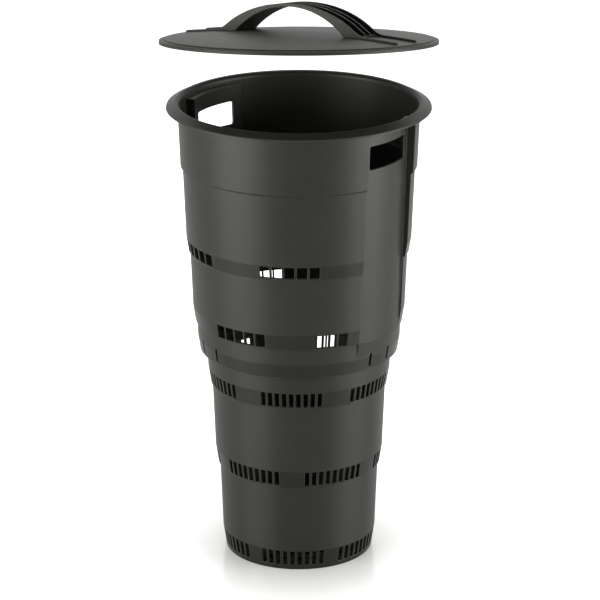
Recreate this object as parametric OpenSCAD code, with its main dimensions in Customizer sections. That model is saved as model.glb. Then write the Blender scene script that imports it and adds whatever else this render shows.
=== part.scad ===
// Underground composter: a tapering perforated bin in two mouldings, with a loose lid.
// The bin stands on its foot ring at z = 0, and the lid is drawn lifted off and tipped.

/* [Bin wall] */
// Outer radius of the foot ring
foot_r = 90.4; // [80:0.1:110]
// Thickness of every bin wall
wall = 2.5; // [1.8:0.1:3.2]
// Draft of the plain walls, in degrees
draft = 2.2; // [1:0.1:3]
// Slope of the slotted bands, in degrees
band_slope = 8.8; // [7:0.1:11]
// Width of the small ledge under each slotted band
ledge = 1.9; // [1:0.1:2.4]

/* [Lower body] */
// Height of the slotted band at the foot
foot_band_h = 25.5; // [20:0.5:32]
// Height of the lowest plain wall
low_wall_h = 86.2; // [70:0.1:100]
// Height of the two slotted bands of the lower body
low_band_h = 20.9; // [16:0.1:26]
// Height of the middle plain wall
mid_wall_h = 83.3; // [70:0.1:100]
// Height of the neck under the skirt of the upper body
neck_h = 19.8; // [14:0.1:26]
// Width of the inward ring that carries the base
foot_ring_w = 6; // [4:0.5:9]
// Height of the collar that stands up inside the skirt
collar_h = 27; // [22:0.5:34]

/* [Upper body] */
// Step outwards from the shoulder to the skirt's lower edge
skirt_out = 8.7; // [7:0.1:12]
// Height of the lower edge of the skirt over the top of the neck
skirt_rise = 3.6; // [3:0.1:6]
// Height of the sloping band of the skirt
skirt_band_h = 16.6; // [14:0.1:20]
// Height of the plain wall over the skirt
skirt_wall_h = 20; // [16:0.5:26]
// Height of the second slotted band from the top
band_2_h = 19; // [16:0.1:24]
// Height of the plain wall between the two upper bands
tier_3_h = 70.1; // [60:0.1:85]
// Height of the topmost slotted band
band_1_h = 17.3; // [15:0.1:22]
// Height of the plain wall over the topmost band
tier_2_h = 86.1; // [75:0.1:100]
// Width of the step under the top wall
top_step = 2.7; // [1.5:0.1:3.5]
// Height of the chamfer of that step
step_h = 2; // [1:0.1:3]
// Height of the top wall, up to the top of the rim
top_wall_h = 76.7; // [65:0.1:90]

/* [Rim] */
// Outward reach of the rim over the top wall
rim_reach = 13.4; // [8:0.1:18]
// Thickness of the outer edge of the rim
rim_lip = 2.2; // [1.6:0.1:3]
// Fall of the rim from its inner edge to its outer bend
rim_fall = 5; // [2:0.1:8]
// Radius of the rounded edge of the mouth
mouth_round = 5; // [2:0.5:6]

/* [Grip channels] */
// Angle of the first grip channel from the front, towards the right
grip_az = 53.2; // [40:0.1:70]
// Half of the angle that a grip channel covers
grip_half = 18.9; // [16.5:0.1:20]
// Distance from the wall under the second band out to the channel's floor
grip_out = 2.4; // [1:0.1:3]
// Draft of the channel's floor, in degrees
grip_draft = 1.6; // [1:0.1:2]
// Width of the hand hole
hole_w = 68; // [56:1:72]
// Height of the hand hole
hole_h = 29; // [22:1:32]
// Distance from the rim's outer bend down to the top of a channel
grip_drop = 6.2; // [4:0.1:9]
// Distance from the top of the hand hole to the top of the channel
hole_drop = 16.8; // [12:0.1:26]
// Corner radius of the hand hole
hole_round = 2.5; // [1:0.5:8]
// Thickness of the step along the corners of a channel
bead = 1.4; // [0.8:0.1:2]

/* [Slots] */
// Angle of the middle of the slot pattern from the front
slot_az = -4.8; // [-12:0.1:4]
// Number of large slots in a full group of the upper body
big_n = 5; // [3:1:5]
// Angle from one large slot to the next
big_pitch = 6.35; // [6.2:0.05:7]
// Width of a large slot
big_w = 12.2; // [10:0.1:12.6]
// Angle from the middle of the pattern to the groups of the second band
band_2_turn = 29; // [28:0.5:32]
// Angle from one group of the band under the neck to the next
group_turn = 58.5; // [57:0.5:60]
// Number of narrow slots in a group of the lower body
small_n = 9; // [5:1:9]
// Angle from one narrow slot to the next in the band under the neck
small_pitch = 4.5; // [4.4:0.05:5]
// Angle from one narrow slot to the next in the middle band
mid_pitch = 4.9; // [4.6:0.05:5.2]
// Angle from one narrow slot to the next in the foot band
foot_pitch = 5.5; // [5.3:0.05:6]
// Width of a narrow slot
small_w = 5.7; // [4:0.1:6]
// Solid strip left under each slot
slot_sill = 2; // [1.5:0.1:3]
// Solid strip left over each slot, up to the edge of its band
slot_head = 0.5; // [0.3:0.1:2]
// Solid strip left under the slots of the foot band
foot_sill = 6; // [5:0.1:9]

/* [Snap joint of the two bodies] */
// Radial and vertical clearance between fitted parts
clear = 0.3; // [0.2:0.05:0.5]
// Angle from the middle of the slot pattern to the snap on either side
snap_turn = 56.8; // [54:0.1:60]
// Half of the angle between the two slits of a snap
snap_half = 8; // [7:0.1:10]
// Width of a slit
slit_w = 4; // [2:0.1:4.5]
// Height of a slit
slit_h = 16.5; // [12:0.1:18]
// Height of the slit's lower end over the skirt's edge
slit_rise = 3.6; // [2.5:0.1:5]
// Height of the catch between the slits
catch_h = 6; // [4:0.1:8]

/* [Base] */
// Thickness of the base plate
base_t = 3; // [2:0.1:4]
// Height of the base's upstand
base_rim_h = 2.4; // [1:0.1:2.5]
// Width of the base's holes
hole_gap = 6; // [4:0.1:8]

/* [Lid] */
// Overhang of the lid past the rim
lid_over = 7.1; // [5:0.1:12]
// Thickness of the lid
lid_t = 2.5; // [2:0.1:3.5]
// Height of the lid's crown over its edge
crown = 8; // [3:0.1:10]
// Depth of the lid's turned-down lip
lid_lip = 6; // [6:0.1:9]
// Width of the lower ledge round the lid
lid_ledge = 6; // [3:0.5:8]
// Depth of the step down to that ledge
lid_step = 1.6; // [0.8:0.1:2]
// Radius of the rounded edge of the lid
lid_round = 1; // [0.5:0.1:1.5]
// Gap under the locating ring of the closed lid, down to the grip channels
locate_gap = 2; // [0.5:0.1:4]
// Play of the locating ring in the mouth
locate_play = 2; // [1.5:0.1:4]
// Height of the lifted lid over its place on the rim
lid_lift = 74.7; // [40:0.1:120]
// Tip of the lifted lid, front edge up, in degrees
lid_tip = 8.7; // [6:0.1:12]

/* [Handle] */
// Turn of the handle about the lid's axis, in degrees
handle_turn = 35; // [0:1:90]
// Width of the handle
handle_w = 42; // [34:0.5:52]
// Half of the span under the handle
handle_span = 78; // [66:0.5:84]
// Height of the handle's underside at the middle over the lid's edge
handle_gap = 38; // [32:0.5:46]
// Thickness of the handle at the middle
handle_t = 3.5; // [3:0.1:5]
// Half of the length of the ellipse that the arch follows
arch_a = 120; // [114:1:132]
// Half of the height of that ellipse
arch_b = 80; // [70:1:92]
// Thickness of the handle's deck
deck_t = 2.4; // [2:0.1:2.8]
// Thickness of the two side webs of the handle
web_t = 2.2; // [2:0.1:4]
// Thickness of the two ribs between the webs
rib_t = 1.8; // [1.5:0.1:3]
// Distance from the middle of one rib to the other
rib_gap = 11; // [8:0.5:14]
// Reach of the handle's runners from the lid's axis
runner_reach = 152; // [130:1:155]
// Height of the runners
runner_h = 2.6; // [1.5:0.1:4]
// Height of the hollow corner where a web meets its runner
hollow_h = 6; // [3:0.5:8]
// Radius of a stud of the handle
stud_r = 3; // [2:0.1:4]
// Distance of the studs from the lid's axis, along the handle
stud_along = 93; // [90:0.5:96]

/* [Hidden] */

$fn = 96;
colour = [0.33, 0.335, 0.31];

// Heights of the lower body's rings, from the foot up
z_low = foot_band_h;
z_band_4 = z_low + low_wall_h;
z_mid = z_band_4 + low_band_h;
z_band_3 = z_mid + mid_wall_h;
z_neck = z_band_3 + low_band_h;
z_shoulder = z_neck + neck_h;

// Radii of those rings: every wall widens upwards
r_low = foot_r + foot_band_h * tan(band_slope);
r_low_top = r_low + low_wall_h * tan(draft);
r_band_4 = r_low_top + ledge;
r_mid = r_band_4 + low_band_h * tan(band_slope);
r_mid_top = r_mid + mid_wall_h * tan(draft);
r_band_3 = r_mid_top + ledge;
r_neck = r_band_3 + low_band_h * tan(band_slope);
r_shoulder = r_neck + neck_h * tan(draft);

// Heights and radii of the upper body's rings, from the skirt up
z_skirt = z_shoulder + skirt_rise;
z_skirt_top = z_skirt + skirt_band_h;
z_band_2 = z_skirt_top + skirt_wall_h;
z_tier_3 = z_band_2 + band_2_h;
z_band_1 = z_tier_3 + tier_3_h;
z_tier_2 = z_band_1 + band_1_h;
z_step = z_tier_2 + tier_2_h;
z_top_wall = z_step + step_h;
z_rim = z_top_wall + top_wall_h;
z_bend = z_rim - rim_fall;

skirt_r = r_shoulder + skirt_out;
r_skirt_top = skirt_r + skirt_band_h * tan(band_slope);
r_under_2 = r_skirt_top + skirt_wall_h * tan(draft);
r_band_2 = r_under_2 + ledge;
r_tier_3 = r_band_2 + band_2_h * tan(band_slope);
r_under_1 = r_tier_3 + tier_3_h * tan(draft);
r_band_1 = r_under_1 + ledge;
r_tier_2 = r_band_1 + band_1_h * tan(band_slope);
r_step = r_tier_2 + tier_2_h * tan(draft);
r_top_wall = r_step + top_step;
r_rim_wall = r_top_wall + top_wall_h * tan(draft);
r_rim = r_rim_wall + rim_reach;
r_mouth = r_rim_wall - wall;

// The inner face steps outwards this far over the outer face's step
step_up = wall;
// Radii that lie outside every wall and well inside it
far = 2 * r_rim;
core_r = foot_r / 2;
// Overlap that joins two shapes or carries a cut past a face
eps = 0.5;

// Small sizes of the rim: rounding of its bend, and corner under the rim
bend_round = 2;
under_lip = 1;

// Vertical extent of a grip channel, and the radius of its floor at a height
z_grip = z_band_2;
z_grip_top = z_bend - grip_drop;
z_grip_fade = z_skirt_top;
// The side walls of a channel start at this height, over the ledge of the band
z_grip_back = z_grip + 2 * step_up;
// The floor starts this far inside the wall, and the wall is cut away from a little higher
fade_in = 0.3;
fade_join = 2.5;
// Angle by which the floor reaches into the side walls
fade_turn = 0.2;
// Half of the angle of a corner step, and the depth at which it starts under the floor
bead_half = 0.8;
bead_sunk = 0.3;
grip_r = r_under_2 + grip_out;
// Half of the angle to the inner faces of a channel's side walls
side_half = grip_half + asin(wall / grip_r);
function grip_floor(z) = grip_r + (z - z_grip) * tan(grip_draft);
z_hole = z_grip_top - hole_drop - hole_h / 2;

// Collar of the lower body, inside the skirt
z_collar_top = z_shoulder + collar_h;
r_collar_low = skirt_r - wall - clear;
r_collar_mid = r_skirt_top - wall - clear;
r_collar_top = r_collar_mid + (z_collar_top - z_skirt_top) * tan(draft);
z_catch = z_skirt + slit_rise + clear;
catch_depth = 1.8;
// Angle from a slit in to the end of the catch, and out to the end of its window
catch_in = 2.3;
catch_out = 2.5;

// Directions of the three snaps
snap_turns = [slot_az - snap_turn, slot_az + snap_turn, slot_az + 180];

// Distance from one ring of the base's holes to the next, and length of a hole
base_ring = 2.9 * hole_gap;
base_hole = 2 * hole_gap;

// Closed lid: its edge plane stands so that its underside clears the rim
lid_r = r_rim + lid_over;
crown_r = lid_r - lid_ledge;
// Radius of the locating ring, and the height of the sloping lead at its foot
r_locate = r_mouth - locate_play;
lead = 2;
function dome(r) = crown * (1 - pow(r / crown_r, 2));
z_lid = z_rim + clear + lid_t - dome(r_mouth + mouth_round);
// Depth of the locating ring under the lid's underside
locate_h = z_lid - lid_t - (z_grip_top + wall) - locate_gap;
// The lid tips about a far line behind the bin that brings it level onto the rim
pivot_y = lid_lift / 2 / tan(lid_tip / 2);
pivot_z = z_lid + lid_lift / 2;

// Handle: circles of its underside and of its upper outline, in the side view
function arc_r(half, rise) = (half * half + rise * rise) / (2 * rise);
under_r = arc_r(handle_span, handle_gap - dome(handle_span));
under_z = handle_gap - under_r;
// Thickness of the foot plates at the ends of the grooves
plate_t = 2;
// Centre of the arch's ellipse, and where it would meet the runner
arch_z = handle_gap + handle_t - arch_b;
foot_z = runner_h + dome(stud_along);
foot_end = arch_a * sqrt(1 - pow((foot_z - arch_z) / arch_b, 2));
// The hollow corner leaves the ellipse here, and turns about its corner point
hollow_a = asin((foot_z + hollow_h - arch_z) / arch_b);
hollow_x = arch_a * cos(hollow_a);
corner_x = hollow_x + hollow_h * tan(hollow_a) * arch_a / arch_b;
hollow_end = corner_x + norm([corner_x - hollow_x, hollow_h]);
// Length of the sloping nose of a runner, and its height there
nose = 2;
nose_h = 0.8;
// Reach of a stud under the lid, and the height and overhang of its head
stud_drop = 3.5;
head_h = 3;
head_over = 1.2;

// Outer outlines, from the bottom up, as pairs of radius and height
lower_out = [
    [foot_r, 0],
    [r_low, z_low],
    [r_low_top, z_band_4],
    [r_band_4, z_band_4],
    [r_mid, z_mid],
    [r_mid_top, z_band_3],
    [r_band_3, z_band_3],
    [r_neck, z_neck],
    [r_shoulder, z_shoulder],
    [r_collar_low, z_skirt],
    [r_collar_mid, z_skirt_top],
    [r_collar_top, z_collar_top]
];
lower_in = [
    [r_collar_top - wall, z_collar_top + eps],
    [r_collar_top - wall, z_collar_top],
    [r_collar_mid - wall, z_skirt_top],
    [r_collar_low - wall, z_skirt + step_up],
    [r_shoulder - wall, z_shoulder + step_up],
    [r_neck - wall, z_neck],
    [r_band_3 - wall, z_band_3 + step_up],
    [r_mid_top - wall, z_band_3 + step_up],
    [r_mid - wall, z_mid],
    [r_band_4 - wall, z_band_4 + step_up],
    [r_low_top - wall, z_band_4 + step_up],
    [r_low - wall, z_low],
    [foot_r - wall, wall],
    [foot_r - foot_ring_w, wall],
    [foot_r - foot_ring_w, -eps]
];
upper_out = [
    [skirt_r, z_skirt],
    [r_skirt_top, z_skirt_top],
    [r_under_2, z_band_2],
    [r_band_2, z_band_2],
    [r_tier_3, z_tier_3],
    [r_under_1, z_band_1],
    [r_band_1, z_band_1],
    [r_tier_2, z_tier_2],
    [r_step, z_step],
    [r_top_wall, z_top_wall],
    [r_rim_wall - rim_fall * tan(draft), z_bend - under_lip],
    [r_rim - wall, z_bend - rim_lip],
    [r_rim, z_bend - rim_lip],
    [r_rim, z_bend - 0.7 * bend_round],
    [r_rim - 0.3 * bend_round, z_bend],
    [r_rim - bend_round, z_bend + 0.3 * bend_round],
    for (a = [90 : 18 : 180])
        [r_mouth + mouth_round + mouth_round * cos(a), z_rim - mouth_round + mouth_round * sin(a)],
    [r_mouth - eps, z_rim - mouth_round - 2 * eps]
];
upper_in = [
    [r_mouth, z_rim + eps],
    [r_top_wall - wall, z_top_wall + step_up],
    [r_step - wall, z_step + step_up],
    [r_tier_2 - wall, z_tier_2],
    [r_band_1 - wall, z_band_1 + step_up],
    [r_under_1 - wall, z_band_1 + step_up],
    [r_tier_3 - wall, z_tier_3],
    [r_band_2 - wall, z_band_2 + step_up],
    [r_under_2 - wall, z_band_2 + step_up],
    [r_skirt_top - wall, z_skirt_top],
    [skirt_r - wall, z_skirt]
];

function reverse(list) = [for (i = [len(list) - 1 : -1 : 0]) list[i]];

// A solid of revolution that fills an outline to the axis
module filled(outline, low, high)
    rotate_extrude()
        polygon(concat([[0, low]], outline, [[0, high]]));

// Turns its children by an angle from the front, towards the right
module at(az)
    rotate([0, 0, az - 90])
        children();

// A ring sector, centred on the front-facing direction of at()
module sector(half, low, high, near = foot_r)
    rotate([0, 0, -half])
        rotate_extrude(angle = 2 * half)
            polygon([[near, low], [far, low], [far, high], [near, high]]);

// The floor of a grip channel as a solid sector
module grip_core(top)
    rotate([0, 0, -grip_half - fade_turn])
        rotate_extrude(angle = 2 * (grip_half + fade_turn))
            polygon([
                [core_r, z_grip_fade - fade_in],
                [r_skirt_top - fade_in, z_grip_fade - fade_in],
                [grip_r, z_grip],
                [grip_floor(top), top],
                [core_r, top]
            ]);

// The space behind that floor and between its side walls
module grip_back(top)
    rotate([0, 0, -side_half - fade_turn])
        rotate_extrude(angle = 2 * (side_half + fade_turn))
            polygon([
                [core_r, z_grip_back - eps],
                [grip_floor(z_grip_back) - wall, z_grip_back - eps],
                [grip_floor(top) - wall, top],
                [core_r, top]
            ]);

// The step in a corner of a grip channel, which runs out towards the channel's foot
module corner_step(top)
    rotate([0, 0, -bead_half])
        rotate_extrude(angle = 2 * bead_half)
            polygon([
                [core_r, z_tier_3],
                [grip_floor(z_tier_3) - bead_sunk, z_tier_3],
                [grip_floor(z_band_1) + bead, z_band_1],
                [grip_floor(top) + bead, top],
                [core_r, top]
            ]);

// One slot, cut straight outwards through a wall
module slot(az, width, low, high, near)
    at(az)
        translate([near, -width / 2, low])
            cube([far, width, high - low]);

// A row of slots about a middle direction, from one place of the row to another
module slot_row(az, n, pitch, width, low, high, near, first = 0, last = 100)
    for (i = [first : min(last, n - 1)])
        slot(az + (i - (n - 1) / 2) * pitch, width, low, high, near);

// Opening of a hand hole, as a bar with rounded corners
module hand_hole()
    translate([grip_floor(z_hole) - 4 * wall, 0, z_hole])
        rotate([90, 0, 90])
            linear_extrude(8 * wall) {
                square([hole_w - 2 * hole_round, hole_h], center = true);
                square([hole_w, hole_h - 2 * hole_round], center = true);
                for (x = [-1, 1], y = [-1, 1])
                    translate([x * (hole_w / 2 - hole_round), y * (hole_h / 2 - hole_round)])
                        circle(hole_round, $fn = 32);
            }

module lower_body()
    color(colour)
        difference() {
            filled(lower_out, 0, z_collar_top);
            filled(lower_in, z_collar_top + eps, -eps);
            for (side = [0, 180], j = [-1 : 1])
                slot_row(slot_az + side + j * group_turn, small_n, small_pitch, small_w,
                    z_band_3 + slot_sill, z_neck - slot_head, r_band_3 - 6 * wall);
            for (k = [0 : 5]) {
                slot_row(slot_az + 30 + 60 * k, small_n, mid_pitch, small_w,
                    z_band_4 + slot_sill, z_mid - slot_head, r_band_4 - 6 * wall);
                slot_row(slot_az + 60 * k, small_n, foot_pitch, small_w,
                    foot_sill, z_low - slot_head, foot_r - 4 * wall);
            }
            for (turn = snap_turns)
                at(turn)
                    sector(snap_half + catch_out, z_catch - clear, z_catch - clear + slit_h);
        }

module base_grate()
    color(colour)
        translate([0, 0, wall])
            difference() {
                rotate_extrude()
                    polygon([
                        [0, 0],
                        [foot_r - wall - clear, 0],
                        [foot_r - wall - clear + base_t * tan(band_slope), base_t],
                        [foot_r - 2 * wall, base_t + base_rim_h],
                        [foot_r - 3 * wall, base_t],
                        [0, base_t]
                    ]);
                for (ring = [1 : 4], i = [0 : 6 * ring - 1])
                    rotate([0, 0, i * 60 / ring])
                        translate([ring * base_ring - base_hole / 2, -hole_gap / 2, -eps])
                            cube([base_hole, hole_gap, base_t + 2 * eps]);
            }

module upper_body()
    color(colour)
        difference() {
            union() {
                difference() {
                    filled(upper_out, z_skirt, z_rim - mouth_round - 2 * eps);
                    for (side = [0, 180])
                        at(grip_az + side)
                            sector(grip_half, z_grip_fade + fade_join, z_grip_top);
                }
                for (side = [0, 180])
                    at(grip_az + side) {
                        grip_core(z_grip_top + eps);
                        for (corner = [-1, 1])
                            rotate([0, 0, corner * (grip_half - bead_half + fade_turn / 2)])
                                corner_step(z_grip_top + eps);
                    }
            }
            difference() {
                filled(reverse(upper_in), z_skirt - eps, z_rim + eps);
                for (side = [0, 180])
                    at(grip_az + side)
                        sector(side_half, z_grip_back, z_grip_top + wall);
                for (turn = snap_turns)
                    at(turn)
                        sector(snap_half - catch_in, z_catch, z_catch + catch_h,
                            skirt_r - wall - catch_depth);
            }
            for (side = [0, 180])
                at(grip_az + side) {
                    grip_back(z_grip_top + 2 * wall);
                    hand_hole();
                }
            for (k = [0 : 5])
                if (k % 3 != 1)
                    slot_row(slot_az + 60 * k, big_n, big_pitch, big_w,
                        z_band_1 + slot_sill, z_tier_2 - slot_head, r_band_1 - 4 * wall);
            for (side = [0, 180]) {
                slot_row(slot_az + side - band_2_turn, big_n, big_pitch, big_w,
                    z_band_2 + slot_sill, z_tier_3 - slot_head, r_band_2 - 4 * wall);
                slot_row(slot_az + side + band_2_turn, big_n, big_pitch, big_w,
                    z_band_2 + slot_sill, z_tier_3 - slot_head, r_band_2 - 4 * wall, last = 2);
                slot_row(slot_az + side + 90, big_n, big_pitch, big_w,
                    z_band_2 + slot_sill, z_tier_3 - slot_head, r_band_2 - 4 * wall, first = 2);
            }
            for (turn = snap_turns, end = [-1, 1])
                slot(turn + end * snap_half, slit_w,
                    z_skirt + slit_rise, z_skirt + slit_rise + slit_h, skirt_r - 3 * wall);
        }

// Puts a lid part that is drawn about its own edge plane at its lifted place
module lifted()
    translate([0, pivot_y, pivot_z])
        rotate([-lid_tip, 0, 0])
            translate([0, -pivot_y, z_lid - pivot_z])
                children();

// The dome of the lid, raised by a distance, down to its edge plane and below
module dome_solid(radius, raise, low)
    rotate_extrude()
        polygon(concat(
            [[0, low]],
            [[radius, low]],
            [for (i = [12 : -1 : 0]) [radius * i / 12, dome(radius * i / 12) + raise]]
        ));

// The four places of the handle's studs
module at_studs()
    for (end = [-1, 1], side = [-1, 1])
        translate([end * stud_along, side * handle_w / 4, 0])
            children();

module lid_plate()
    color(colour)
        lifted()
            difference() {
                union() {
                    difference() {
                        rotate_extrude()
                            polygon(concat(
                                [[0, -lid_lip]],
                                [[lid_r, -lid_lip]],
                                [for (a = [0 : 30 : 90])
                                    [lid_r - lid_round + lid_round * cos(a),
                                        -lid_step - lid_round + lid_round * sin(a)]],
                                [[crown_r + lid_step / 4, -lid_step]],
                                [for (i = [12 : -1 : 0]) [crown_r * i / 12, dome(crown_r * i / 12)]]
                            ));
                        dome_solid(crown_r - lid_t, -lid_t, -lid_lip - eps);
                        translate([0, 0, -lid_lip - eps])
                            cylinder(h = lid_lip + eps - lid_step - lid_t, r = lid_r - lid_t);
                    }
                    rotate_extrude()
                        polygon([
                            [r_locate - wall, -lid_t - locate_h],
                            [r_locate - lead / 2, -lid_t - locate_h],
                            [r_locate, -lid_t - locate_h + lead],
                            [r_locate, dome(r_locate) - lid_t / 2],
                            [r_locate - wall, dome(r_locate) - lid_t / 2]
                        ]);
                }
                rotate([0, 0, -handle_turn])
                    at_studs()
                        translate([0, 0, -lid_lip])
                            cylinder(h = 3 * lid_lip, r = stud_r + clear);
            }

// Side view of the handle: runner, hollow corner, arch, and the same again
function over_lid(x) = [x, dome(x) + runner_h];
function runner_line() = [
    for (i = [0 : 3])
        over_lid(runner_reach - nose - (runner_reach - nose - hollow_end) * i / 3)
];
function hollow_line() = [
    for (i = [1 : 8])
        let (t = i / 8)
            pow(1 - t, 2) * over_lid(hollow_end) + 2 * t * (1 - t) * over_lid(corner_x)
                + t * t * [hollow_x, foot_z + hollow_h]
];
function arch_line() = [
    for (i = [1 : 39])
        let (a = hollow_a + (180 - 2 * hollow_a) * i / 40)
            [arch_a * cos(a), arch_z + arch_b * sin(a)]
];
function half_line(end) = [
    for (spot = concat(
        [[runner_reach, -lid_lip], [runner_reach, dome(runner_reach) + nose_h]],
        runner_line(),
        hollow_line()
    ))
        [end * spot[0], spot[1]]
];

// A slice of the handle across its width, from one side to another
module across(from, width)
    translate([0, from + width, 0])
        rotate([90, 0, 0])
            linear_extrude(width)
                children();

// The three grooves along the arch, down to the deck and to the foot plates
module grooves()
    difference() {
        across(web_t - handle_w / 2, handle_w - 2 * web_t)
            difference() {
                translate([-foot_end, 0])
                    square([2 * foot_end, 2 * handle_gap]);
                translate([0, under_z])
                    circle(under_r + deck_t, $fn = 360);
            }
        dome_solid(crown_r, plate_t, -lid_lip);
        for (side = [-1, 1])
            translate([0, side * rib_gap / 2, 0])
                cube([4 * foot_end, rib_t, 8 * handle_gap], center = true);
    }

module lid_handle()
    color(colour)
        lifted()
            rotate([0, 0, -handle_turn]) {
                difference() {
                    across(-handle_w / 2, handle_w)
                        difference() {
                            polygon(concat(half_line(1), arch_line(), reverse(half_line(-1))));
                            translate([0, under_z])
                                circle(under_r, $fn = 360);
                        }
                    dome_solid(lid_r, clear / 2, -4 * lid_lip);
                    grooves();
                    for (end = [-1, 1])
                        translate([end * (foot_end + lid_r / 2 - eps), 0, 0])
                            cube([lid_r, handle_w - 2 * web_t, 4 * handle_gap], center = true);
                }
                at_studs()
                    translate([0, 0, dome(stud_along) - lid_t - stud_drop]) {
                        cylinder(h = lid_t + stud_drop + 2 * eps, r = stud_r);
                        cylinder(h = head_h, r1 = stud_r, r2 = stud_r + head_over);
                    }
            }

lower_body();
base_grate();
upper_body();
lid_plate();
lid_handle();
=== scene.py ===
import math

import bpy
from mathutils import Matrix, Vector

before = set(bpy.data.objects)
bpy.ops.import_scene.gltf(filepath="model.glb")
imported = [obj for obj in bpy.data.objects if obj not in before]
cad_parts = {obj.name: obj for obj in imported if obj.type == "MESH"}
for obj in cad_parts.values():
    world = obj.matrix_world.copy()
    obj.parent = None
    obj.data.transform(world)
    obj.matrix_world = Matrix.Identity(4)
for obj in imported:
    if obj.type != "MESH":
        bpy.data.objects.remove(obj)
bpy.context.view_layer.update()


# Lower body
# The lower half of the bin is one thin injection moulding in dark grey polypropylene.
# Its slots are moulded in, and its collar snaps up inside the skirt of the upper half.
LOWER_GREY = (0.0182, 0.0188, 0.0166)
ROUND_THE_WALL = (5.0, 5.0, 420.0)


class Signal:
    """One output of a finish's node, with the sums that the finishes here are written in."""

    def __init__(self, tree, socket=None):
        self.tree = tree
        self.socket = socket

    def node(self, kind, settings=None, sockets=None, out=0):
        """Adds a node: its settings are set first, then its sockets get values or links."""
        made = self.tree.nodes.new(kind)
        for name, value in (settings or {}).items():
            setattr(made, name, value)
        for name, value in (sockets or {}).items():
            if isinstance(value, Signal):
                self.tree.links.new(value.socket, made.inputs[name])
            else:
                made.inputs[name].default_value = value
        return Signal(self.tree, made.outputs[out] if made.outputs else None)

    def math(self, operation, first, second):
        return self.node("ShaderNodeMath", {"operation": operation}, {0: first, 1: second})

    def __add__(self, other):
        return self.math("ADD", self, other)

    def __mul__(self, other):
        return self.math("MULTIPLY", self, other)

    def __sub__(self, other):
        return self.math("SUBTRACT", self, other)

    def __rsub__(self, other):
        return self.math("SUBTRACT", other, self)

    __radd__ = __add__
    __rmul__ = __mul__

    def clipped(self, low, high):
        """This value's place between low and high, held between 0 and 1."""
        sockets = {"Value": self, "From Min": low, "From Max": high}
        return self.node("ShaderNodeMapRange", {"clamp": True}, sockets)

    def stretched(self, scale):
        """This place, with each axis multiplied by its own number."""
        settings = {"operation": "MULTIPLY"}
        return self.node("ShaderNodeVectorMath", settings, {0: self, 1: scale})

    def noise(self, scale, detail=3.0):
        sockets = {"Vector": self, "Scale": scale, "Detail": detail}
        return self.node("ShaderNodeTexNoise", None, sockets)


def mixed(share, first, second):
    """A colour between two colours."""
    settings = {"data_type": "RGBA", "clamp_factor": True}
    return share.node("ShaderNodeMix", settings, {0: share, 6: first, 7: second}, out=2)


# The plastic's gloss is faintly olive. Its grain is much finer than the clouds in its colour,
# and its pale edges, partly wear and partly a painted highlight, are a little over a
# millimetre wide. The shades are parts of the grey.
SHEEN = (0.98, 1.0, 0.88, 1.0)
PLASTIC_IOR = 1.45
GRAIN_SCALE, CLOUD_SCALE, WEAR_AND_HIGHLIGHT_SCALE = 2600.0, 11.0, 90.0
EDGE_REACH = 0.0013
GRAIN_STRENGTH, GRAIN_DEPTH = 0.35, 0.00012
DARK, PALE, WORN_AND_HIGHLIT, BAND_PAINTED_SHADE = 0.9, 1.1, 4.0, 0.62

# How far a wall looks down, from 0 to 1. The slotted bands lean more than the plain walls,
# so they get a painted shade and a smoother finish; the foot of a grip channel leans more
# still and keeps the colour and finish of the walls.
BAND_LEAN = (0.08, 0.13)
CHANNEL_FOOT_LEAN = (0.159, 0.163)


def moulded_plastic(name, grey, streaks, roughness=0.41, gloss=0.26):
    """Satin moulded polypropylene with spark grain, tool marks that run one way, pale edges
    that are partly wear and partly a painted highlight, and slotted bands that are smoother
    than the walls and carry a painted shade because they face down, away from the lamps."""
    material = bpy.data.materials.new(name)
    material.use_nodes = True
    tree = material.node_tree
    tree.nodes.clear()
    place = Signal(tree).node("ShaderNodeTexCoord", out="Object")

    grain = place.noise(GRAIN_SCALE, 2.0)
    marks = place.stretched(streaks).noise(1.0, 4.0)
    cloud = place.noise(CLOUD_SCALE, 4.0)
    wall_normal = place.node("ShaderNodeNewGeometry", out="Normal")
    soft_normal = place.node("ShaderNodeBevel", {"samples": 6}, {"Radius": EDGE_REACH})
    along = place.node("ShaderNodeVectorMath", {"operation": "DOT_PRODUCT"},
                       {0: wall_normal, 1: soft_normal}, out=1)
    # Pale edges: partly wear, partly a painted highlight along them.
    wear_and_edge_highlight = (1.0 - along).clipped(0.01, 0.2) * place.noise(WEAR_AND_HIGHLIGHT_SCALE).clipped(0.25, 0.6)

    # Faces that look down get a painted shade in their colour, and less roughness.
    lean = place.node("ShaderNodeSeparateXYZ", None, {0: wall_normal}, out=2) * -1.0
    band_shade_and_smoothness = lean.clipped(*BAND_LEAN) - lean.clipped(*CHANNEL_FOOT_LEAN)

    dark, pale, edge, painted_band_shade = [tuple(shade * c for c in grey) + (1.0,)
                              for shade in (DARK, PALE, WORN_AND_HIGHLIT, BAND_PAINTED_SHADE)]
    body = mixed((cloud * 0.6 + marks * 0.4).clipped(0.35, 0.65), dark, pale)
    colour = mixed(wear_and_edge_highlight * 0.75, mixed(band_shade_and_smoothness * 0.7, body, painted_band_shade), edge)
    rough = roughness - 0.06 + cloud * 0.06 + marks * 0.06 + wear_and_edge_highlight * 0.1 - band_shade_and_smoothness * 0.1
    height = grain * 0.6 + marks * 0.4
    bump = place.node("ShaderNodeBump", None, {
        "Strength": GRAIN_STRENGTH, "Distance": GRAIN_DEPTH,
        "Height": height, "Normal": soft_normal})
    shader = place.node("ShaderNodeBsdfPrincipled", None, {
        "Base Color": colour, "Roughness": rough, "IOR": PLASTIC_IOR,
        "Specular IOR Level": gloss, "Specular Tint": SHEEN, "Normal": bump})
    place.node("ShaderNodeOutputMaterial", None, {"Surface": shader})
    return material


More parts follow.
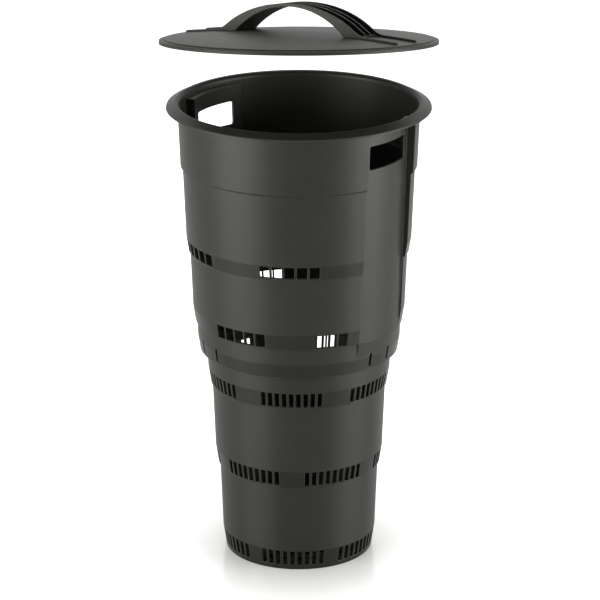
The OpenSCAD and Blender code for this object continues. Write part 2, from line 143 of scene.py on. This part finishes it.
def finished(node, material):
    """Gives a CAD node its finish."""
    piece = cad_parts[node]
    piece.data.materials.clear()
    piece.data.materials.append(material)


finished("lower_body", moulded_plastic("lower_bin_plastic", LOWER_GREY, ROUND_THE_WALL))


# Base
# A drop-in floor plate with drain holes lies on the ring at the foot of the bin.
# It is moulded in the same plastic and is held by nothing but its own weight.
BASE_GREY = (0.0182, 0.0188, 0.0166)
ACROSS_THE_PLATE = (500.0, 5.0, 5.0)
finished("base_grate", moulded_plastic("base_plastic", BASE_GREY, ACROSS_THE_PLATE,
                                       roughness=0.5))


# Upper body
# The upper half has the flanged rim, the two hand holes in their channels and the skirt.
# It is moulded in the same plastic, with the marks of the turned mould round it.
UPPER_GREY = (0.0187, 0.0193, 0.0171)
finished("upper_body", moulded_plastic("upper_bin_plastic", UPPER_GREY, ROUND_THE_WALL))


# Lid
# A shallow domed disc with a turned-down edge, moulded in one piece with its locating ring.
# Its face has less gloss than the bin, and an even grain that runs no one way.
LID_GREY = (0.0225, 0.0231, 0.0206)
EVEN_GRAIN = (60.0, 60.0, 60.0)
finished("lid_plate", moulded_plastic("lid_plastic", LID_GREY, EVEN_GRAIN,
                                      roughness=0.45, gloss=0.16))


# Handle
# The arched strap handle is a moulding of its own, with four studs pressed through the lid.
# It is in the same plastic as the lid, and tool marks run along it from foot to foot.
HANDLE_GREY = (0.0225, 0.0231, 0.0206)
ALONG_THE_STRAP = (40.0, 400.0, 40.0)
finished("lid_handle", moulded_plastic("handle_plastic", HANDLE_GREY, ALONG_THE_STRAP,
                                       gloss=0.2))


# Studio
# The bin stands on a pale floor between two soft boxes, with one over it and a fill behind.
# The floor keeps the contact shadow, partly cast and partly painted into its glow, and a
# faint reflection of the foot.
AMBIENT = 0.05


def backdrop_share(start, gloss=1.0):
    """How much of the plain backdrop a ray sees: gloss has its own share, and the camera
    and glass see all of it."""
    path = start.node("ShaderNodeLightPath")
    seen = {name: Signal(start.tree, path.socket.node.outputs[name])
            for name in ("Is Camera Ray", "Is Glossy Ray", "Is Transmission Ray")}
    return (seen["Is Camera Ray"] + seen["Is Glossy Ray"] * gloss
            + seen["Is Transmission Ray"]).clipped(0.0, 1.0)


world = bpy.data.worlds.new("studio")
bpy.context.scene.world = world
world.use_nodes = True
world.node_tree.nodes.clear()
sky = Signal(world.node_tree)
strength = backdrop_share(sky) * (1.0 - AMBIENT) + AMBIENT
glow = sky.node("ShaderNodeBackground", None, {"Color": (1, 1, 1, 1), "Strength": strength})
sky.node("ShaderNodeOutputWorld", None, {"Surface": glow})

FLOOR_HALF = 20.0
floor_mesh = bpy.data.meshes.new("floor")
floor_mesh.from_pydata([(-FLOOR_HALF, -FLOOR_HALF, 0), (FLOOR_HALF, -FLOOR_HALF, 0),
                        (FLOOR_HALF, FLOOR_HALF, 0), (-FLOOR_HALF, FLOOR_HALF, 0)],
                       [], [(0, 1, 2, 3)])
floor = bpy.data.objects.new("floor", floor_mesh)
bpy.context.scene.collection.objects.link(floor)

# The paper's glow is low near the bin, a painted shadow round the foot, and rises to plain
# backdrop far from it.
# Glossy rays see only a share of its glow, which keeps most of it out of the gloss of the
# walls.
# Under the foot its glow is painted out to black, a painted shadow, so the drain holes stay
# dark.
FOOT_RADIUS = 0.0905
FOOT_EDGE = (FOOT_RADIUS - 0.006, FOOT_RADIUS + 0.002)
NEAR_RADIUS = 1.9 * FOOT_RADIUS
FAR_RADIUS = 0.6
FOOT_SHADOW_GLOW, NEAR_GLOW, FAR_GLOW = 0.3, 0.7, 0.95
GLOSS_SHARE = 0.25
PAPER_GREY = (0.46, 0.457, 0.445, 1)
PAPER_WHITE = (1, 0.997, 0.985, 1)
paper = bpy.data.materials.new("floor_paper")
paper.use_nodes = True
paper.node_tree.nodes.clear()
sheet = Signal(paper.node_tree)
spot = sheet.node("ShaderNodeTexCoord", out="Object")
reach = spot.node("ShaderNodeVectorMath", {"operation": "LENGTH"}, {0: spot}, out=1)
# Painted shadow: the glow is lowest at the foot and rises away from it.
glow_with_painted_shadow = (FOOT_SHADOW_GLOW + reach.clipped(FOOT_RADIUS, NEAR_RADIUS) * (NEAR_GLOW - FOOT_SHADOW_GLOW)
         + reach.clipped(NEAR_RADIUS, FAR_RADIUS) * (FAR_GLOW - NEAR_GLOW))
paper_glow_with_painted_shadow = mixed(glow_with_painted_shadow * reach.clipped(*FOOT_EDGE), (0, 0, 0, 1), PAPER_WHITE)
satin = sheet.node("ShaderNodeBsdfPrincipled", None, {
    "Base Color": PAPER_GREY, "Roughness": 0.16, "IOR": 1.75})
lit = sheet.node("ShaderNodeEmission", None, {
    "Color": paper_glow_with_painted_shadow, "Strength": backdrop_share(sheet, GLOSS_SHARE)})
sheet.node("ShaderNodeOutputMaterial", None, {
    "Surface": sheet.node("ShaderNodeAddShader", None, {0: satin, 1: lit})})
floor_mesh.materials.append(paper)


def soft_box(name, centre, aim, width, height, watts):
    """A rectangular soft light that faces a point."""
    data = bpy.data.lights.new(name, "AREA")
    data.shape = "RECTANGLE"
    data.size = width
    data.size_y = height
    data.energy = watts
    lamp = bpy.data.objects.new(name, data)
    bpy.context.scene.collection.objects.link(lamp)
    lamp.location = centre
    lamp.rotation_euler = (Vector(aim) - Vector(centre)).to_track_quat("-Z", "Y").to_euler()
    return lamp


# The fill is there for the back of the bin, so it stays out of the gloss and the picture.
RIM_AIM = (0.0, 0.0, 0.55)
BACK_AIM = (0.0, 0.2, 0.3)
soft_box("left_box", (-1.625, -0.984, 0.56), RIM_AIM, width=1.45, height=1.1, watts=52.0)
soft_box("right_box", (1.805, -0.593, 0.56), RIM_AIM, width=1.45, height=1.1, watts=53.0)
soft_box("top_box", (0.0, 0.6, 2.4), BACK_AIM, width=1.4, height=1.4, watts=20.0)
fill = soft_box("back_fill", (0.0, 2.1, 0.8), RIM_AIM, width=1.4, height=1.1, watts=45.0)
fill.visible_glossy = False
fill.visible_camera = False

# The camera stands well back, with a long lens, and looks down over the rim.
CAMERA_PLACE = (0.0013, -3.3227, 1.4527)
CAMERA_TILT = 71.133
LENS, SENSOR = 173.1, 36.0
camera_data = bpy.data.cameras.new("camera")
camera_data.sensor_width = SENSOR
camera_data.lens = LENS
camera = bpy.data.objects.new("camera", camera_data)
bpy.context.scene.collection.objects.link(camera)
camera.location = CAMERA_PLACE
camera.rotation_euler = (math.radians(CAMERA_TILT), 0.0, 0.0)
bpy.context.scene.camera = camera
bpy.context.scene.view_settings.view_transform = "Standard"
